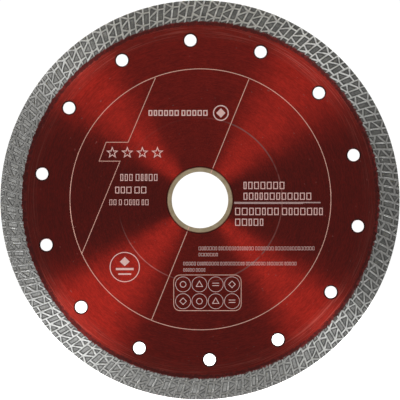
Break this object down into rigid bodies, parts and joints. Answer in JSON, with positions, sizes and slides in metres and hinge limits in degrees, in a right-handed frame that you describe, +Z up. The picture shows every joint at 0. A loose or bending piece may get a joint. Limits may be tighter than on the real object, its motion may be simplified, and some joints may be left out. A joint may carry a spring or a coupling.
{
  "type": "diamond blade",
  "caption": "Thin steel cutting disc for tile and stone: red lacquered core, grey mesh-patterned sintered rim, ring of round cooling holes and a removable reducer ring in the bore.",
  "frame": {"origin": "centre of the arbor bore, half way through the core's thickness", "axes": "+Y along the blade's axis, from the printed face to the plain face; +X to the right and +Z up, seen from the printed face"},
  "size_m": [0.18, 0.0016, 0.18],
  "materials": {
    "core_steel": "bare ground steel",
    "sintered_bond": "matt grey sintered metal",
    "grit": "glassy crystals",
    "red_lacquer": "translucent gloss red over brushed steel",
    "ring_metal": "khaki passivated, satin",
    "ink": "pale screen-printed ink"
  },
  "bodies": {
    "blade": {"steel_core": "core_steel", "diamond_rim": "sintered_bond", "diamond_grit": "grit", "front_lacquer": "red_lacquer", "rear_lacquer": "red_lacquer", "front_print": "ink"},
    "ring": {"reducer_ring": "ring_metal", "ring_print": "ink"}
  },
  "joints": [
    {"name": "ring_push_out", "type": "slide", "parent": "blade", "child": "ring", "axis": [0, 1, 0], "range_m": [-0.02, 0.02]}
  ]
}
